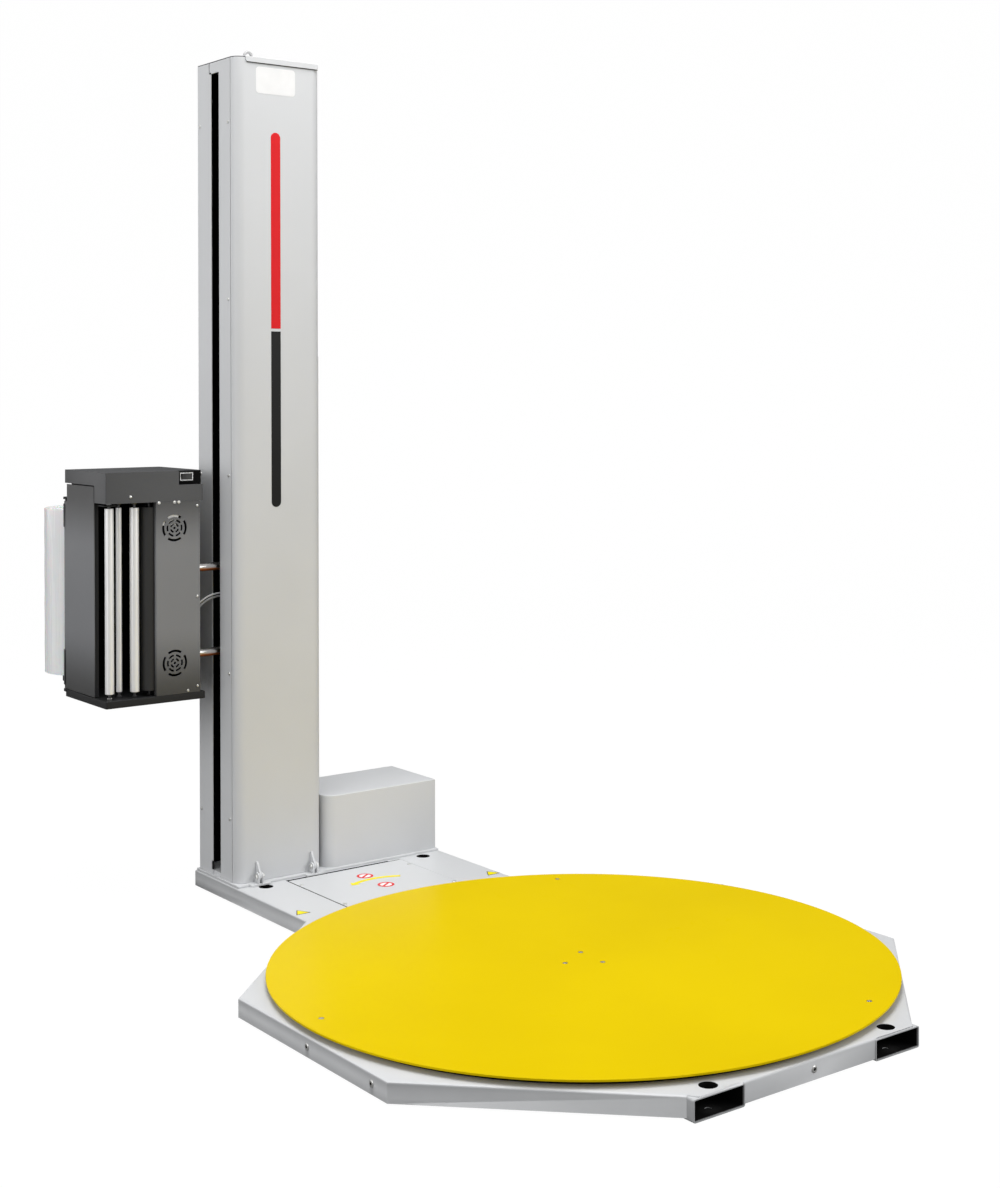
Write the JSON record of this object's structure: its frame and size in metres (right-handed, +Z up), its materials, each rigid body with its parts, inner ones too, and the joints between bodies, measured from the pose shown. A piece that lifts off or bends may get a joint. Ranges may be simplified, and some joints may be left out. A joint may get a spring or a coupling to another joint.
{
  "type": "turntable pallet wrapper",
  "caption": "Semi-automatic pallet wrapper: a low driven turntable on a floor deck, and a folding mast with a film carriage that travels up and down.",
  "frame": {"origin": "on the floor, on the turntable's axis", "axes": "+Z up, +Y from the turntable towards the mast, the film carriage on the -X side"},
  "size_m": [1.51, 2.486, 2.396],
  "materials": {
    "grey_paint": "satin light grey powder coat",
    "yellow_paint": "gloss yellow powder coat",
    "anthracite_paint": "fine texture anthracite powder coat",
    "galvanised_steel": "zinc plated",
    "bright_screw": "zinc plated",
    "black_steel": "black",
    "hard_chrome": "polished",
    "bearing_steel": "ground",
    "cast_hub": "machined cast iron",
    "motor_casting": "painted casting",
    "wheel_plastic": "cast polyamide",
    "roller_aluminium": "anodised",
    "roller_rubber": "ground rubber",
    "belt_rubber": "matte",
    "stretch_film": "wound clear film",
    "black_plastic": "moulded",
    "green_plastic": "moulded",
    "red_plastic": "moulded",
    "cable_sheath": "extruded"
  },
  "bodies": {
    "base": {"base_deck": "grey_paint", "fork_tubes": "grey_paint", "cross_members": "grey_paint", "hatch_plate": "grey_paint", "base_screws": "bright_screw", "centre_foot": "galvanised_steel", "wheel_mounts": "galvanised_steel", "mast_base_plate": "grey_paint", "mast_hinge": "galvanised_steel", "cabinet_cover": "grey_paint", "turn_gearmotor": "motor_casting", "drive_chain": "black_steel", "cable_gland": "black_plastic"},
    "turntable": {"turntable_plate": "yellow_paint", "turntable_hub": "cast_hub", "turntable_screws": "bright_screw", "hub_bearing": "bearing_steel", "hub_sprocket": "black_steel", "wheel_track": "galvanised_steel"},
    "mast": {"mast_front_cover": "grey_paint", "mast_side_strips": "grey_paint", "mast_back_panel": "grey_paint", "mast_right_panel": "grey_paint", "mast_cap": "grey_paint", "lifting_eye": "galvanised_steel", "mast_foot": "grey_paint", "mast_screws": "bright_screw", "side_cover": "grey_paint", "guide_rails": "hard_chrome", "lift_gearmotor": "motor_casting", "lift_belt": "belt_rubber"},
    "carriage": {"trolley": "galvanised_steel", "arm_rods": "hard_chrome", "carriage_cables": "cable_sheath", "carriage_tray": "anthracite_paint", "gear_housing": "anthracite_paint", "gear_cover": "anthracite_paint", "carriage_head": "anthracite_paint", "carriage_pins": "bearing_steel", "carriage_screws": "bright_screw", "prestretch_motor": "motor_casting", "film_mandrel": "black_plastic"},
    "drive_sprocket": {"drive_sprocket": "black_steel"},
    "start_button": {"start_button": "green_plastic"},
    "stop_button": {"stop_button": "red_plastic"},
    "pulley_top": {"pulley_top": "roller_aluminium"},
    "pulley_bottom": {"pulley_bottom": "roller_aluminium"},
    "exit_roller": {"exit_roller": "roller_aluminium"},
    "idler_roller": {"idler_roller": "roller_aluminium"},
    "feed_roller": {"feed_roller": "roller_aluminium"},
    "rubber_roller": {"rubber_roller": "roller_rubber"},
    "film_roll": {"film_roll": "stretch_film"},
    "door": {"door": "anthracite_paint"},
    "rocker_switch": {"rocker_switch": "black_plastic"},
    "support_wheel_1": {"support_wheel_1": "wheel_plastic"},
    "support_wheel_2": {"support_wheel_2": "wheel_plastic"},
    "support_wheel_3": {"support_wheel_3": "wheel_plastic"},
    "support_wheel_4": {"support_wheel_4": "wheel_plastic"},
    "support_wheel_5": {"support_wheel_5": "wheel_plastic"},
    "support_wheel_6": {"support_wheel_6": "wheel_plastic"}
  },
  "joints": [
    {"name": "turntable_spin", "type": "hinge", "parent": "base", "child": "turntable", "pos_m": [0, 0, 0.063], "axis": [0, 0, 1], "continuous": true},
    {"name": "support_wheel_1_spin", "type": "hinge", "parent": "base", "child": "support_wheel_1", "pos_m": [0.64, 0, 0.0377], "axis": [1, 0, 0], "continuous": true},
    {"name": "support_wheel_2_spin", "type": "hinge", "parent": "base", "child": "support_wheel_2", "pos_m": [0.41138, 0.49027, 0.0377], "axis": [0.6428, 0.766, 0], "continuous": true},
    {"name": "support_wheel_3_spin", "type": "hinge", "parent": "base", "child": "support_wheel_3", "pos_m": [-0.41138, 0.49027, 0.0377], "axis": [-0.6428, 0.766, 0], "continuous": true},
    {"name": "support_wheel_4_spin", "type": "hinge", "parent": "base", "child": "support_wheel_4", "pos_m": [-0.64, 0, 0.0377], "axis": [-1, 0, 0], "continuous": true},
    {"name": "support_wheel_5_spin", "type": "hinge", "parent": "base", "child": "support_wheel_5", "pos_m": [-0.41138, -0.49027, 0.0377], "axis": [-0.6428, -0.766, 0], "continuous": true},
    {"name": "support_wheel_6_spin", "type": "hinge", "parent": "base", "child": "support_wheel_6", "pos_m": [0.41138, -0.49027, 0.0377], "axis": [0.6428, -0.766, 0], "continuous": true},
    {"name": "drive_sprocket_spin", "type": "hinge", "parent": "base", "child": "drive_sprocket", "pos_m": [0.11, 1.24, 0.02], "axis": [0, 0, 1], "continuous": true},
    {"name": "mast_fold", "type": "hinge", "parent": "base", "child": "mast", "pos_m": [-0.181, 1.104, 0.074], "axis": [1, 0, 0], "range_deg": [0, 90]},
    {"name": "carriage_lift", "type": "slide", "parent": "mast", "child": "carriage", "axis": [0, 0, 1], "range_m": [-0.44, 1.08]},
    {"name": "pulley_top_spin", "type": "hinge", "parent": "mast", "child": "pulley_top", "pos_m": [-0.186, 1.244, 2.28], "axis": [1, 0, 0], "continuous": true},
    {"name": "pulley_bottom_spin", "type": "hinge", "parent": "mast", "child": "pulley_bottom", "pos_m": [-0.186, 1.244, 0.13], "axis": [1, 0, 0], "continuous": true},
    {"name": "start_press", "type": "slide", "parent": "mast", "child": "start_button", "axis": [-1, 0, 0], "range_m": [0, 0.004], "stiffness_N_per_m": 400},
    {"name": "stop_press", "type": "slide", "parent": "mast", "child": "stop_button", "axis": [-1, 0, 0], "range_m": [0, 0.004], "stiffness_N_per_m": 600},
    {"name": "exit_roller_spin", "type": "hinge", "parent": "carriage", "child": "exit_roller", "pos_m": [-0.649, 1.24, 0.856], "axis": [0, 0, 1], "continuous": true},
    {"name": "idler_roller_spin", "type": "hinge", "parent": "carriage", "child": "idler_roller", "pos_m": [-0.6115, 1.262, 0.856], "axis": [0, 0, 1], "continuous": true},
    {"name": "feed_roller_spin", "type": "hinge", "parent": "carriage", "child": "feed_roller", "pos_m": [-0.577, 1.238, 0.856], "axis": [0, 0, 1], "continuous": true},
    {"name": "rubber_roller_spin", "type": "hinge", "parent": "carriage", "child": "rubber_roller", "pos_m": [-0.53, 1.245, 0.856], "axis": [0, 0, 1], "continuous": true},
    {"name": "film_roll_spin", "type": "hinge", "parent": "carriage", "child": "film_roll", "pos_m": [-0.552, 1.61, 0.85], "axis": [0, 0, 1], "continuous": true},
    {"name": "door_swing", "type": "hinge", "parent": "carriage", "child": "door", "pos_m": [-0.664, 1.494, 0.85], "axis": [0, 0, -1], "range_deg": [0, 110]},
    {"name": "rocker_tilt", "type": "hinge", "parent": "carriage", "child": "rocker_switch", "pos_m": [-0.4295, 1.2215, 1.189], "axis": [0, 0, 1], "range_deg": [-20, 0]}
  ],
  "couplings": [
    {"joint": "support_wheel_1_spin", "follows": "turntable_spin", "ratio": -29.091},
    {"joint": "support_wheel_2_spin", "follows": "turntable_spin", "ratio": -29.091},
    {"joint": "support_wheel_3_spin", "follows": "turntable_spin", "ratio": -29.091},
    {"joint": "support_wheel_4_spin", "follows": "turntable_spin", "ratio": -29.091},
    {"joint": "support_wheel_5_spin", "follows": "turntable_spin", "ratio": -29.091},
    {"joint": "support_wheel_6_spin", "follows": "turntable_spin", "ratio": -29.091},
    {"joint": "drive_sprocket_spin", "follows": "turntable_spin", "ratio": 3},
    {"joint": "pulley_top_spin", "follows": "carriage_lift", "rad_per_m": -33.557},
    {"joint": "pulley_bottom_spin", "follows": "carriage_lift", "rad_per_m": -33.557}
  ]
}
